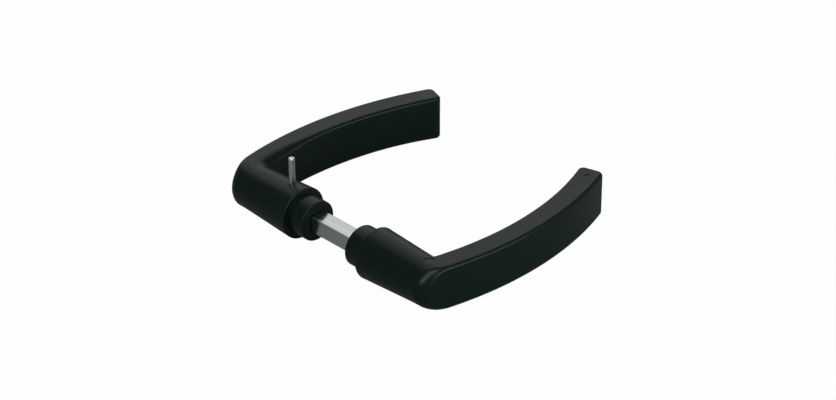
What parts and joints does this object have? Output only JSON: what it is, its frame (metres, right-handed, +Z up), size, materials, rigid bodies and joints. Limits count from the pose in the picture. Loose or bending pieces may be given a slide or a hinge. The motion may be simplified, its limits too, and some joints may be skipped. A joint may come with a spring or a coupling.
{
  "type": "gate lever handle pair",
  "caption": "Bowed lever handles for a gate, moulded with round necks and collars, facing each other on a square steel spindle and held to it by drive pins.",
  "frame": {"origin": "on the spindle's axis, midway between the two neck faces", "axes": "+Y along the spindle towards the far handle, +X the way both levers point, +Z up"},
  "size_m": [0.1242, 0.143, 0.0382],
  "materials": {
    "moulding": "fine satin grain, black",
    "spindle_steel": "bright drawn bar",
    "pin_steel": "bright, zinc plated"
  },
  "bodies": {
    "near_side": {"near_handle": "moulding", "spindle": "spindle_steel", "near_pin": "pin_steel"},
    "far_handle": {"far_handle": "moulding"},
    "far_pin": {"far_pin": "pin_steel"}
  },
  "joints": [
    {"name": "far_handle_slide", "type": "slide", "parent": "near_side", "child": "far_handle", "axis": [0, 1, 0], "range_m": [0, 0.03]},
    {"name": "far_pin_slide", "type": "slide", "parent": "far_handle", "child": "far_pin", "axis": [0, 0, 1], "range_m": [-0.0136, 0.004]}
  ]
}
